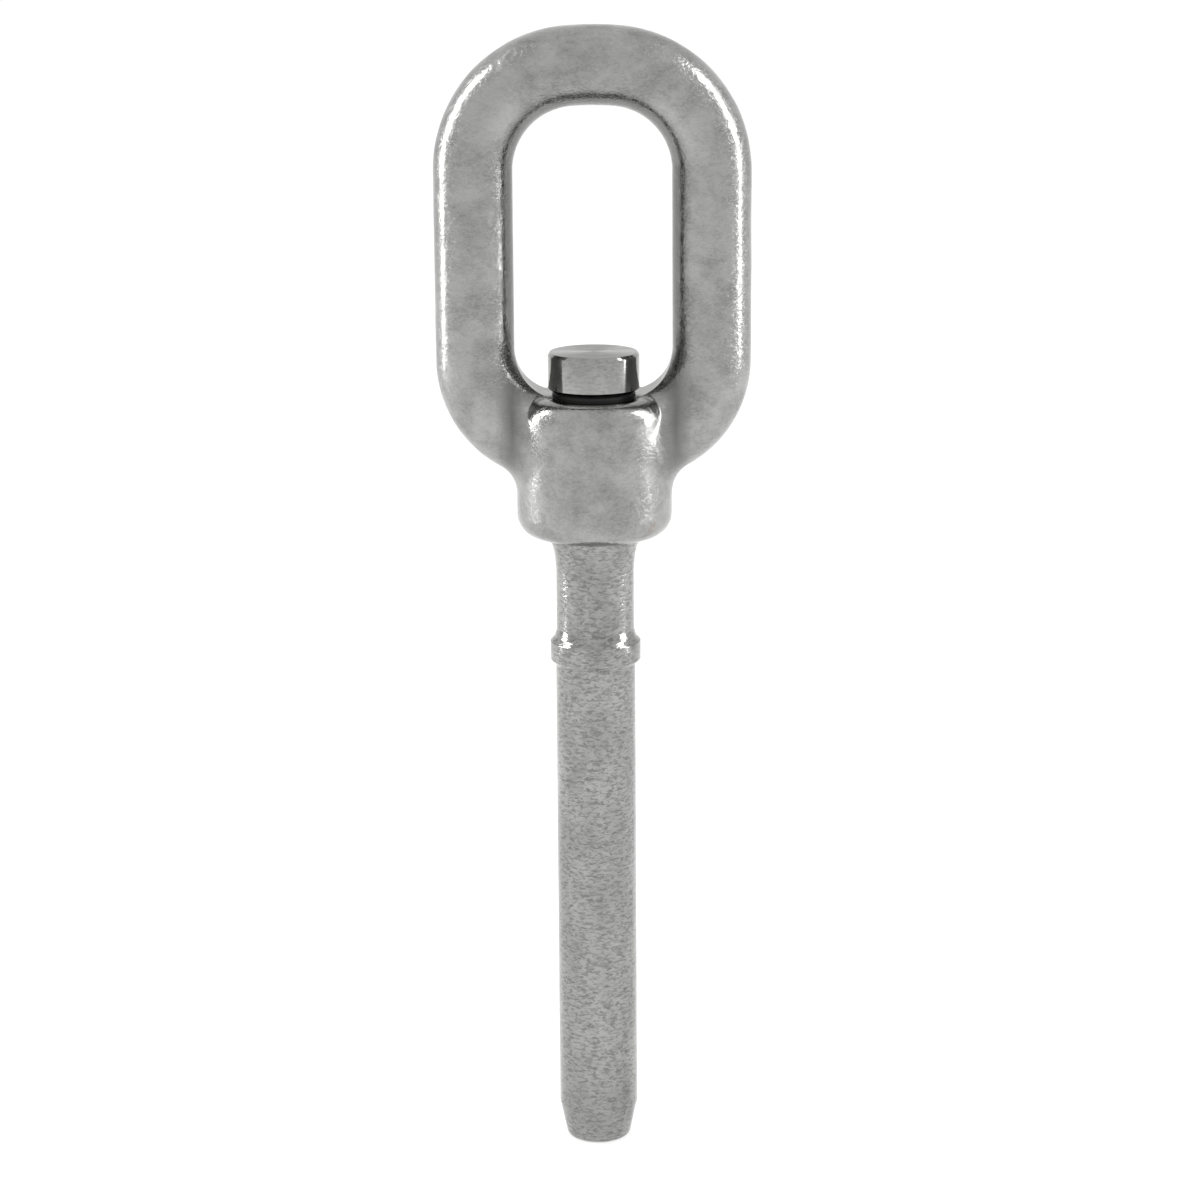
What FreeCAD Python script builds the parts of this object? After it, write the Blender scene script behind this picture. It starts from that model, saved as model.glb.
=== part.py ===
import FreeCAD, Part
import math
import os

from FreeCAD import Vector

os.makedirs("parts", exist_ok=True)

# All sizes are in millimetres. The origin is on the shank's axis, at the
# collar's underside. +Z runs up the shank to the eye, and the eye's opening
# faces along Y.

# Shank, below the collar
ROD_RADIUS = 6.0
ROD_LENGTH = 69.85
NOSE_LENGTH = 5.65
NOSE_END_RADIUS = 4.75
NOSE_EDGE_ROUND = 0.9

# Shank, collar and neck
COLLAR_RADIUS = 6.8
COLLAR_LOWER_CHAMFER = 0.85
COLLAR_LAND = 2.75
COLLAR_CONE_STEP = 0.65
COLLAR_CONE_HEIGHT = 0.7
COLLAR_HOLLOW_HEIGHT = 1.2
COLLAR_HOLLOW_BOW = 0.09
NECK_RADIUS = 5.84
FLARE_RADIUS = 6.8
FLARE_HEIGHT = 4.6
FLARE_BOW = 0.23
FLARE_LIP = 0.25
FLARE_TOP = 19.5

# Shank, spindle inside the hub
JOURNAL_RADIUS = 4.0
SEAT_RADIUS = 3.6
THREAD_RADIUS = 3.0
THREAD_RELIEF = 0.4
SPINDLE_CHAMFER = 0.4

# Eye, hub
HUB_RADIUS = 11.6
HUB_BOTTOM = 19.85
HUB_TOP = 41.05
HUB_BOTTOM_ROUND = 3.3
HUB_RIM_ROUND = 3.0
HUB_RIM_ALLOWANCE = 0.15
BORE_RADIUS = 5.0
COUNTERBORE_RADIUS = 6.15

# Eye, ring: a flat-topped arch on two straight legs
BAR_RADIUS = 5.83
LEG_X = 17.5
ARCH_CROWN_RADIUS = 46.2
ARCH_SHOULDER_RADIUS = 15.2
ARCH_SPRING_Z = 74.3
LEG_END_Z = 54.0

# Eye, root: where each leg bends in and swells into the hub
ROOT_INNER_RADIUS = 5.35
ROOT_INNER_Z = 48.1
ROOT_OUTER_RADIUS = 18.2
ROOT_OUTER_Z = 46.3
ROOT_BLEND_RADIUS = 5.5
ROOT_BLEND_SINK = 0.05
ROOT_HALF_WIDTH = 6.6
ROOT_WIDENING = 1.5
LEG_ROWS = 3
ROOT_ROWS = 14
SECTION_POLES = 8

# Eye, machined saddle across the hub's top
SADDLE_HALF_WIDTH = 11.62
SADDLE_CORNER_RADIUS = 6.8
SADDLE_HEIGHT = 12.0

# Head cap
HEAD_RADIUS = 6.8
HEAD_HEIGHT = 5.75
HEAD_GAP = 0.7
HEAD_CHAMFER = 0.45
HEAD_LOWER_CHAMFER = 0.42
BOSS_RADIUS = 5.1
BOSS_LENGTH = 1.95
CAP_THICKNESS = 1.5

# Lock pin
PIN_RADIUS = 0.8
PIN_INNER_Y = 1.2

# Thrust ball bearing
BALL_RADIUS = 0.8
BALL_COUNT = 12
BALL_PITCH_RADIUS = 4.88
GROOVE_DEPTH = 0.2
GROOVE_EXTRA = 0.05
RACE_THICKNESS = 1.3
CAGE_THICKNESS = 0.6
CAGE_INNER_RADIUS = 3.8
CAGE_OUTER_RADIUS = 5.95

# Seal ring, bush and washer
SEAL_OUTER_RADIUS = 6.08
SEAL_INNER_RADIUS = 5.15
SEAL_HEIGHT = 1.85
SEAL_CHAMFER = 0.3
BUSH_CHAMFER = 0.3
WASHER_RADIUS = 6.45
WASHER_CHAMFER = 0.15

# Clearances, and how far a cutter runs past the face that it opens
CUT_BEYOND = 1.0
BALL_CLEARANCE = 0.01
POCKET_CLEARANCE = 0.03
RUNNING_CLEARANCE = 0.03
RACE_SLACK = 0.25
SEAT_SLACK = 0.02

# Heights that follow from the sizes above
HEAD_BOTTOM = HUB_TOP + HEAD_GAP
HEAD_TOP = HEAD_BOTTOM + HEAD_HEIGHT
BOSS_BOTTOM = HEAD_BOTTOM - BOSS_LENGTH
UPPER_RACE_BOTTOM = BOSS_BOTTOM - RACE_THICKNESS
BALL_Z = UPPER_RACE_BOTTOM + GROOVE_DEPTH - BALL_RADIUS - BALL_CLEARANCE
LOWER_RACE_TOP = BALL_Z - BALL_RADIUS - BALL_CLEARANCE + GROOVE_DEPTH
COUNTERBORE_BOTTOM = LOWER_RACE_TOP - RACE_THICKNESS
COLLAR_TOP = COLLAR_LOWER_CHAMFER + COLLAR_LAND
PIN_Z = (HEAD_BOTTOM + HEAD_TOP) / 2.0

DIAGONAL = math.sqrt(0.5)
CORNER_WEIGHT = DIAGONAL
ORIGIN = Vector(0, 0, 0)
UP = Vector(0, 0, 1)
ACROSS = Vector(0, 1, 0)
SIDEWAYS = Vector(1, 0, 0)


def point(x, z):
    return Vector(x, 0, z)


def line(start, end):
    return Part.LineSegment(point(*start), point(*end)).toShape()


def arc(start, middle, end):
    return Part.Arc(point(*start), point(*middle), point(*end)).toShape()


def corner_arc(corner, radius, inward, upward):
    """The start, middle and end of a corner's rounding; the end is on the upright side."""
    x, z = corner
    edge = radius * (1 - DIAGONAL)
    start = (x + inward * radius, z)
    middle = (x + inward * edge, z + upward * edge)
    end = (x, z + upward * radius)
    return start, middle, end


def hollow(start, end, bow):
    """An arc that curves in towards the axis by bow from the straight line between two points."""
    middle = ((start[0] + end[0]) / 2.0 - bow, (start[1] + end[1]) / 2.0)
    return arc(start, middle, end)


def turned(edges):
    """A solid of revolution about Z, from a closed profile of edges."""
    return Part.Face(Part.Wire(edges)).revolve(ORIGIN, UP, 360)


def turned_polygon(corners):
    """A solid of revolution about Z, from a closed profile of corners."""
    edges = []
    for index in range(len(corners)):
        edges.append(line(corners[index - 1], corners[index]))
    return turned(edges)


def cylinder(radius, bottom, top):
    return Part.makeCylinder(radius, top - bottom, Vector(0, 0, bottom))


def save(shape, name):
    solid = shape.Solids[0]
    solid.exportStep("parts/" + name + ".step")


# Shank: one turned piece, from the nose up to the threaded spindle end

def nose_edges():
    end = -ROD_LENGTH - NOSE_LENGTH
    slope = math.atan2(ROD_RADIUS - NOSE_END_RADIUS, NOSE_LENGTH)
    reach = NOSE_EDGE_ROUND * math.tan((math.pi / 2 - slope) / 2)
    flat = (NOSE_END_RADIUS - reach, end)
    side = (NOSE_END_RADIUS + reach * math.sin(slope), end + reach * math.cos(slope))
    centre = (flat[0], end + NOSE_EDGE_ROUND)
    angle = -(math.pi / 2 + slope) / 2
    middle = (centre[0] + NOSE_EDGE_ROUND * math.cos(angle), centre[1] + NOSE_EDGE_ROUND * math.sin(angle))
    return [
        line((0, end), flat),
        arc(flat, middle, side),
        line(side, (ROD_RADIUS, -ROD_LENGTH)),
        line((ROD_RADIUS, -ROD_LENGTH), (ROD_RADIUS, 0)),
    ]


def collar_edges():
    lower = (COLLAR_RADIUS, COLLAR_LOWER_CHAMFER)
    upper = (COLLAR_RADIUS, COLLAR_TOP)
    cone = (COLLAR_RADIUS - COLLAR_CONE_STEP, COLLAR_TOP + COLLAR_CONE_HEIGHT)
    foot = (NECK_RADIUS, cone[1] + COLLAR_HOLLOW_HEIGHT)
    edges = [
        line((ROD_RADIUS, 0), lower),
        line(lower, upper),
        line(upper, cone),
        hollow(cone, foot, COLLAR_HOLLOW_BOW),
    ]
    return edges, foot


def flare_edges(foot):
    start = (NECK_RADIUS, FLARE_TOP - FLARE_LIP - FLARE_HEIGHT)
    end = (FLARE_RADIUS, FLARE_TOP - FLARE_LIP)
    return [
        line(foot, start),
        hollow(start, end, FLARE_BOW),
        line(end, (FLARE_RADIUS, FLARE_TOP)),
        line((FLARE_RADIUS, FLARE_TOP), (JOURNAL_RADIUS, FLARE_TOP)),
    ]


def spindle_edges():
    step = COUNTERBORE_BOTTOM
    top = HEAD_TOP - CAP_THICKNESS - THREAD_RELIEF
    corners = [
        (JOURNAL_RADIUS, FLARE_TOP),
        (JOURNAL_RADIUS, step),
        (SEAT_RADIUS, step),
        (SEAT_RADIUS, BOSS_BOTTOM),
        (THREAD_RADIUS, BOSS_BOTTOM),
        (THREAD_RADIUS, top - SPINDLE_CHAMFER),
        (THREAD_RADIUS - SPINDLE_CHAMFER, top),
        (0, top),
        (0, -ROD_LENGTH - NOSE_LENGTH),
    ]
    edges = []
    for index in range(1, len(corners)):
        edges.append(line(corners[index - 1], corners[index]))
    return edges


def pin_hole():
    """The pin's cylinder, from its blind end out past the head's side."""
    length = HEAD_RADIUS - PIN_INNER_Y + CUT_BEYOND
    return Part.makeCylinder(PIN_RADIUS, length, Vector(0, PIN_INNER_Y, PIN_Z), ACROSS)


def make_shank():
    collar, foot = collar_edges()
    profile = nose_edges() + collar + flare_edges(foot) + spindle_edges()
    return turned(profile).cut(pin_hole())


# Head cap: the turned button that holds the eye on, with its lock pin

def make_head_cap():
    outline = [
        (BOSS_RADIUS, BOSS_BOTTOM),
        (BOSS_RADIUS, HEAD_BOTTOM),
        (HEAD_RADIUS - HEAD_LOWER_CHAMFER, HEAD_BOTTOM),
        (HEAD_RADIUS, HEAD_BOTTOM + HEAD_LOWER_CHAMFER),
        (HEAD_RADIUS, HEAD_TOP - HEAD_CHAMFER),
        (HEAD_RADIUS - HEAD_CHAMFER, HEAD_TOP),
        (0, HEAD_TOP),
        (0, HEAD_TOP - CAP_THICKNESS),
        (THREAD_RADIUS, HEAD_TOP - CAP_THICKNESS),
        (THREAD_RADIUS, BOSS_BOTTOM),
    ]
    return turned_polygon(outline).cut(pin_hole())


def make_lock_pin():
    return pin_hole().common(cylinder(HEAD_RADIUS, HEAD_BOTTOM, HEAD_TOP))


# Thrust bearing: two grooved races, a pocketed cage and the balls

def race(inner, outer, face, back):
    """A ring from its grooved face to its back. The groove is a little wider than a ball."""
    away = 1.0 if back > face else -1.0
    radius = BALL_RADIUS + GROOVE_EXTRA
    half_width = math.sqrt(radius ** 2 - (radius - GROOVE_DEPTH) ** 2)
    groove_inner = (BALL_PITCH_RADIUS - half_width, face)
    groove_bottom = (BALL_PITCH_RADIUS, face + away * GROOVE_DEPTH)
    groove_outer = (BALL_PITCH_RADIUS + half_width, face)
    return turned([
        line((inner, face), groove_inner),
        arc(groove_inner, groove_bottom, groove_outer),
        line(groove_outer, (outer, face)),
        line((outer, face), (outer, back)),
        line((outer, back), (inner, back)),
        line((inner, back), (inner, face)),
    ])


def make_upper_race():
    inner = SEAT_RADIUS + SEAT_SLACK
    outer = COUNTERBORE_RADIUS - RACE_SLACK
    return race(inner, outer, UPPER_RACE_BOTTOM, BOSS_BOTTOM)


def make_lower_race():
    inner = SEAT_RADIUS + RACE_SLACK
    outer = COUNTERBORE_RADIUS - SEAT_SLACK
    return race(inner, outer, LOWER_RACE_TOP, COUNTERBORE_BOTTOM)


def ball_centre(index):
    angle = 2.0 * math.pi * (index + 0.5) / BALL_COUNT
    x = BALL_PITCH_RADIUS * math.cos(angle)
    y = BALL_PITCH_RADIUS * math.sin(angle)
    return Vector(x, y, BALL_Z)


def make_cage():
    bottom = BALL_Z - CAGE_THICKNESS / 2.0
    top = BALL_Z + CAGE_THICKNESS / 2.0
    cage = cylinder(CAGE_OUTER_RADIUS, bottom, top).cut(cylinder(CAGE_INNER_RADIUS, bottom, top))
    for index in range(BALL_COUNT):
        centre = ball_centre(index)
        start = Vector(centre.x, centre.y, bottom)
        pocket = Part.makeCylinder(BALL_RADIUS + POCKET_CLEARANCE, CAGE_THICKNESS, start)
        cage = cage.cut(pocket)
    return cage


def make_ball(index):
    return Part.makeSphere(BALL_RADIUS, ball_centre(index))


# Seal ring, guide bush and thrust washer

def make_seal_ring():
    top = HEAD_BOTTOM - RUNNING_CLEARANCE
    bottom = top - SEAL_HEIGHT
    outline = [
        (SEAL_INNER_RADIUS, bottom),
        (SEAL_OUTER_RADIUS - SEAL_CHAMFER, bottom),
        (SEAL_OUTER_RADIUS, bottom + SEAL_CHAMFER),
        (SEAL_OUTER_RADIUS, top - SEAL_CHAMFER),
        (SEAL_OUTER_RADIUS - SEAL_CHAMFER, top),
        (SEAL_INNER_RADIUS, top),
    ]
    return turned_polygon(outline)


def make_guide_bush():
    bottom = HUB_BOTTOM + BUSH_CHAMFER
    top = COUNTERBORE_BOTTOM - BUSH_CHAMFER
    inner = JOURNAL_RADIUS + RUNNING_CLEARANCE
    outline = [
        (inner + BUSH_CHAMFER, bottom),
        (BORE_RADIUS - BUSH_CHAMFER, bottom),
        (BORE_RADIUS, bottom + BUSH_CHAMFER),
        (BORE_RADIUS, top - BUSH_CHAMFER),
        (BORE_RADIUS - BUSH_CHAMFER, top),
        (inner + BUSH_CHAMFER, top),
        (inner, top - BUSH_CHAMFER),
        (inner, bottom + BUSH_CHAMFER),
    ]
    return turned_polygon(outline)


def make_thrust_washer():
    bottom = FLARE_TOP + RUNNING_CLEARANCE
    inner = JOURNAL_RADIUS + RUNNING_CLEARANCE
    outline = [
        (inner, bottom),
        (WASHER_RADIUS - WASHER_CHAMFER, bottom),
        (WASHER_RADIUS, bottom + WASHER_CHAMFER),
        (WASHER_RADIUS, HUB_BOTTOM - WASHER_CHAMFER),
        (WASHER_RADIUS - WASHER_CHAMFER, HUB_BOTTOM),
        (inner, HUB_BOTTOM),
    ]
    return turned_polygon(outline)


# Eye forging. The round bar becomes an oval in the roots. Every section is the
# same eight-pole curve, stretched, so each piece meets the next exactly.

def section_poles(centre, outward, reach, half_width):
    """Poles of an oval section: reach runs along outward, half_width along Y."""
    poles = []
    for index in range(SECTION_POLES):
        angle = 2.0 * math.pi * index / SECTION_POLES
        corner = 1.0 / CORNER_WEIGHT if index % 2 else 1.0
        along = reach * corner * math.cos(angle)
        across = half_width * corner * math.sin(angle)
        x = centre[0] + outward[0] * along
        z = centre[1] + outward[1] * along
        poles.append(Vector(x, across, z))
    return poles


def skin(rows):
    """A closed solid whose skin follows rows of section poles from end to end."""
    around = list(range(SECTION_POLES // 2 + 1))
    along = list(range(len(rows) - 2))
    weights = []
    for index in range(SECTION_POLES):
        weights.append([CORNER_WEIGHT if index % 2 else 1.0] * len(rows))
    surface = Part.BSplineSurface()
    surface.buildFromPolesMultsKnots(
        [list(column) for column in zip(*rows)],
        [2] * len(around),
        [4] + [1] * (len(along) - 2) + [4],
        around,
        along,
        True,
        False,
        2,
        3,
        weights,
    )
    ends = [Part.Face(Part.Wire([surface.vIso(row).toShape()])) for row in (along[0], along[-1])]
    shell = Part.makeShell([surface.toShape()] + ends)
    shell.sewShape()
    return Part.makeSolid(shell)


def bar_face(centre, facing):
    circle = Part.Circle(centre, facing, BAR_RADIUS)
    return Part.Face(Part.Wire([circle.toShape()]))


def arch_crown():
    """Half of the flat top, from the middle to the shoulder."""
    centre_z = arch_centre_z()
    face = bar_face(point(0, centre_z + ARCH_CROWN_RADIUS), SIDEWAYS)
    return face.revolve(point(0, centre_z), ACROSS, math.degrees(arch_angle()))


def arch_angle():
    return math.asin((LEG_X - ARCH_SHOULDER_RADIUS) / (ARCH_CROWN_RADIUS - ARCH_SHOULDER_RADIUS))


def arch_centre_z():
    drop = (ARCH_CROWN_RADIUS - ARCH_SHOULDER_RADIUS) * math.cos(arch_angle())
    return ARCH_SPRING_Z - drop


def arch_shoulder():
    face = bar_face(point(LEG_X, ARCH_SPRING_Z), UP)
    centre = point(LEG_X - ARCH_SHOULDER_RADIUS, ARCH_SPRING_Z)
    angle = 90.0 - math.degrees(arch_angle())
    return face.revolve(centre, ACROSS, -angle)


def straight_leg():
    face = bar_face(point(LEG_X, ARCH_SPRING_Z), UP)
    return face.extrude(Vector(0, 0, LEG_END_Z - ARCH_SPRING_Z))


def root_inner(angle):
    centre_x = LEG_X - BAR_RADIUS - ROOT_INNER_RADIUS
    x = centre_x + ROOT_INNER_RADIUS * math.cos(angle)
    z = ROOT_INNER_Z - ROOT_INNER_RADIUS * math.sin(angle)
    return x, z


def blend_centre():
    """Centre of the hollow curve that carries the leg's underside into the hub's wall."""
    outer_x = LEG_X + BAR_RADIUS - ROOT_OUTER_RADIUS
    x = HUB_RADIUS - ROOT_BLEND_SINK + ROOT_BLEND_RADIUS
    reach = ROOT_OUTER_RADIUS + ROOT_BLEND_RADIUS
    z = ROOT_OUTER_Z - math.sqrt(reach ** 2 - (x - outer_x) ** 2)
    return x, z


def blend_start_angle():
    outer_x = LEG_X + BAR_RADIUS - ROOT_OUTER_RADIUS
    x, z = blend_centre()
    return math.atan2(ROOT_OUTER_Z - z, x - outer_x)


def root_outer(share):
    """Underside point: share 0 to 1 is the bend, 1 to 2 the hollow blend."""
    start = blend_start_angle()
    if share <= 1.0:
        angle = start * share
        x = LEG_X + BAR_RADIUS - ROOT_OUTER_RADIUS + ROOT_OUTER_RADIUS * math.cos(angle)
        z = ROOT_OUTER_Z - ROOT_OUTER_RADIUS * math.sin(angle)
        return x, z
    centre_x, centre_z = blend_centre()
    angle = math.pi - start * (2.0 - share)
    x = centre_x + ROOT_BLEND_RADIUS * math.cos(angle)
    z = centre_z + ROOT_BLEND_RADIUS * math.sin(angle)
    return x, z


def root_poles(share):
    inner = root_inner(math.pi / 2.0 * share / 2.0)
    outer = root_outer(share)
    centre = ((inner[0] + outer[0]) / 2.0, (inner[1] + outer[1]) / 2.0)
    reach = math.hypot(outer[0] - inner[0], outer[1] - inner[1]) / 2.0
    outward = ((outer[0] - inner[0]) / reach / 2.0, (outer[1] - inner[1]) / reach / 2.0)
    half_width = BAR_RADIUS + (ROOT_HALF_WIDTH - BAR_RADIUS) * (share / 2.0) ** ROOT_WIDENING
    return section_poles(centre, outward, reach, half_width)


def leg_root():
    rows = []
    for index in range(LEG_ROWS):
        share = index / LEG_ROWS
        height = LEG_END_Z + (ROOT_INNER_Z - LEG_END_Z) * share
        rows.append(section_poles((LEG_X, height), (1, 0), BAR_RADIUS, BAR_RADIUS))
    for index in range(ROOT_ROWS + 1):
        rows.append(root_poles(2.0 * index / ROOT_ROWS))
    return skin(rows)


def hub_forging():
    top = HUB_TOP + HUB_RIM_ALLOWANCE
    low = corner_arc((HUB_RADIUS, HUB_BOTTOM), HUB_BOTTOM_ROUND, -1, 1)
    high = corner_arc((HUB_RADIUS, top), HUB_RIM_ROUND, -1, -1)
    return turned([
        line((0, HUB_BOTTOM), low[0]),
        arc(*low),
        line(low[2], high[2]),
        arc(*high),
        line(high[0], (0, top)),
        line((0, top), (0, HUB_BOTTOM)),
    ])


def saddle_cutter():
    """The cutter's path across the hub's top: a flat floor with round corners up to the legs."""
    flat = SADDLE_HALF_WIDTH - SADDLE_CORNER_RADIUS
    corner = HUB_TOP + SADDLE_CORNER_RADIUS
    bend_x = flat + SADDLE_CORNER_RADIUS * DIAGONAL
    bend_z = corner - SADDLE_CORNER_RADIUS * DIAGONAL
    roof = HUB_TOP + SADDLE_HEIGHT
    wire = Part.Wire([
        line((-flat, HUB_TOP), (flat, HUB_TOP)),
        arc((flat, HUB_TOP), (bend_x, bend_z), (SADDLE_HALF_WIDTH, corner)),
        line((SADDLE_HALF_WIDTH, corner), (SADDLE_HALF_WIDTH, roof)),
        line((SADDLE_HALF_WIDTH, roof), (-SADDLE_HALF_WIDTH, roof)),
        line((-SADDLE_HALF_WIDTH, roof), (-SADDLE_HALF_WIDTH, corner)),
        arc((-SADDLE_HALF_WIDTH, corner), (-bend_x, bend_z), (-flat, HUB_TOP)),
    ])
    face = Part.Face(wire)
    face.translate(Vector(0, -HUB_RADIUS, 0))
    return face.extrude(Vector(0, 2.0 * HUB_RADIUS, 0))


def make_eye():
    half = arch_crown().fuse([arch_shoulder(), straight_leg(), leg_root()])
    ring = half.fuse(half.mirror(ORIGIN, SIDEWAYS))
    forging = ring.fuse(hub_forging()).removeSplitter()
    forging = forging.cut(saddle_cutter())
    forging = forging.cut(cylinder(BORE_RADIUS, HUB_BOTTOM, HUB_TOP))
    forging = forging.cut(cylinder(COUNTERBORE_RADIUS, COUNTERBORE_BOTTOM, HUB_TOP + CUT_BEYOND))
    return forging


save(make_eye(), "eye")
save(make_shank(), "shank")
save(make_head_cap(), "head_cap")
save(make_lock_pin(), "lock_pin")
save(make_upper_race(), "upper_race")
save(make_lower_race(), "lower_race")
save(make_cage(), "ball_cage")
save(make_seal_ring(), "seal_ring")
save(make_guide_bush(), "guide_bush")
save(make_thrust_washer(), "thrust_washer")
for number in range(BALL_COUNT):
    save(make_ball(number), "ball_%02d" % (number + 1))
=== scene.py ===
import math

import bmesh
import bpy
import numpy as np
from mathutils import Matrix, Vector, noise
from mathutils.bvhtree import BVHTree


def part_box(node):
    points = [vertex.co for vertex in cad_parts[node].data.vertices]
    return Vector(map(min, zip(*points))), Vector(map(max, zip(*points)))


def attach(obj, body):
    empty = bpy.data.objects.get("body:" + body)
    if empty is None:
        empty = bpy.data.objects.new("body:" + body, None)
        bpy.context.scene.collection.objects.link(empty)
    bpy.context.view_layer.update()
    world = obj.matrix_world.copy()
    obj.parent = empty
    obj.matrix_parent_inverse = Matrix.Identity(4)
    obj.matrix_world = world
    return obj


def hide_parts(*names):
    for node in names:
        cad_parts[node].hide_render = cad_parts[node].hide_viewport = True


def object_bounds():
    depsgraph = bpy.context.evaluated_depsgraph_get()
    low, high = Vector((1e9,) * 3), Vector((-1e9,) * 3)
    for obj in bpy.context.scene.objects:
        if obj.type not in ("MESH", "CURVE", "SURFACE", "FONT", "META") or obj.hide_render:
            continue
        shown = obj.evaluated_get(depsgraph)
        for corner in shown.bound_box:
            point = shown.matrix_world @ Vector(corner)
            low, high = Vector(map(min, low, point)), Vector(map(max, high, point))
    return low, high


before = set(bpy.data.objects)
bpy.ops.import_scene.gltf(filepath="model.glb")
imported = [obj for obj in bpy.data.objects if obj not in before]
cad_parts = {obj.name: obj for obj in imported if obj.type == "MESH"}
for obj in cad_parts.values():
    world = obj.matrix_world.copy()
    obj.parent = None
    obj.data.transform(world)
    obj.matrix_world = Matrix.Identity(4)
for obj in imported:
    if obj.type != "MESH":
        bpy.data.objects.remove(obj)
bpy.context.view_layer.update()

# Lengths in this script are millimetres until a mesh is made, in the frame
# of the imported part: Z up the shank, Y through the eye, X across its legs.
MM = 0.001


# Small helpers

def metres(points):
    return [(x * MM, y * MM, z * MM) for x, y, z in points]


def mesh_from(name, points, faces):
    mesh = bpy.data.meshes.new(name)
    mesh.from_pydata(metres(points), [], faces)
    mesh.validate()
    return mesh


def add_object(name, mesh):
    piece = bpy.data.objects.new(name, mesh)
    bpy.context.scene.collection.objects.link(piece)
    return piece


def outward(mesh):
    shape = bmesh.new()
    shape.from_mesh(mesh)
    bmesh.ops.remove_doubles(shape, verts=shape.verts, dist=1e-7)
    bmesh.ops.recalc_face_normals(shape, faces=shape.faces)
    shape.to_mesh(mesh)
    shape.free()


def smooth(mesh, crease_degrees):
    """Smooth shading, but crisp at creases and where the material changes."""
    mesh.shade_smooth()
    mesh.set_sharp_from_angle(angle=math.radians(crease_degrees))
    shape = bmesh.new()
    shape.from_mesh(mesh)
    for edge in shape.edges:
        if len({face.material_index for face in edge.link_faces}) > 1:
            edge.smooth = False
    shape.to_mesh(mesh)
    shape.free()


def rounded(corners):
    """A profile through corners (radius, height, rounding), with an arc of that rounding at each."""
    points = []
    for index, (x, z, rounding) in enumerate(corners):
        here = np.array((x, z))
        if rounding == 0 or index in (0, len(corners) - 1):
            points.append((x, z))
            continue
        before = np.array(corners[index - 1][:2]) - here
        after = np.array(corners[index + 1][:2]) - here
        before = before / np.linalg.norm(before)
        after = after / np.linalg.norm(after)
        half = math.acos(np.clip(before @ after, -1, 1)) / 2
        if half > math.pi / 2 - 0.01:
            points.append((x, z))
            continue
        reach = rounding / math.tan(half)
        bisector = before + after
        centre = here + bisector / np.linalg.norm(bisector) * rounding / math.sin(half)
        start = here + before * reach - centre
        end = here + after * reach - centre
        turn = math.atan2(start[0] * end[1] - start[1] * end[0], start @ end)
        steps = max(3, int(abs(turn) / 0.2))
        for step in range(steps + 1):
            angle = turn * step / steps
            c, s = math.cos(angle), math.sin(angle)
            spot = centre + (start[0] * c - start[1] * s, start[0] * s + start[1] * c)
            points.append((spot[0], spot[1]))
    return points


def lathe(name, profile, segments=192, closed=False):
    """Turns a profile of (radius, height) about Z. A closed profile makes a ring."""
    points = []
    rows = []
    for radius, height in profile:
        if radius < 1e-6:
            rows.append([len(points)] * segments)
            points.append((0, 0, height))
            continue
        rows.append(list(range(len(points), len(points) + segments)))
        for step in range(segments):
            angle = 2 * math.pi * step / segments
            points.append((radius * math.cos(angle), radius * math.sin(angle), height))
    faces = []
    pairs = list(zip(rows, rows[1:]))
    if closed:
        pairs.append((rows[-1], rows[0]))
    for low, high in pairs:
        for step in range(segments):
            nxt = (step + 1) % segments
            ring = [low[step], low[nxt], high[nxt], high[step]]
            unique = list(dict.fromkeys(ring))
            if len(unique) > 2:
                faces.append(unique)
    mesh = mesh_from(name, points, faces)
    outward(mesh)
    return mesh


def evaluated(piece):
    depsgraph = bpy.context.evaluated_depsgraph_get()
    return bpy.data.meshes.new_from_object(piece.evaluated_get(depsgraph))


def drop(*pieces):
    for piece in pieces:
        bpy.data.objects.remove(piece)


def cut(mesh, cutters):
    """Cuts each cutter's mesh out of mesh. Cut faces take the cutter's material."""
    body = add_object("blank", mesh)
    tools = []
    for cutter in cutters:
        tool = add_object("cutter", cutter)
        tools.append(tool)
        modifier = body.modifiers.new("cut", "BOOLEAN")
        modifier.operation = "DIFFERENCE"
        modifier.solver = "MANIFOLD"
        modifier.material_mode = "TRANSFER"
        modifier.object = tool
    result = evaluated(body)
    drop(body, *tools)
    return result


# Materials. Every pattern reads Object coordinates, in metres.

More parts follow.
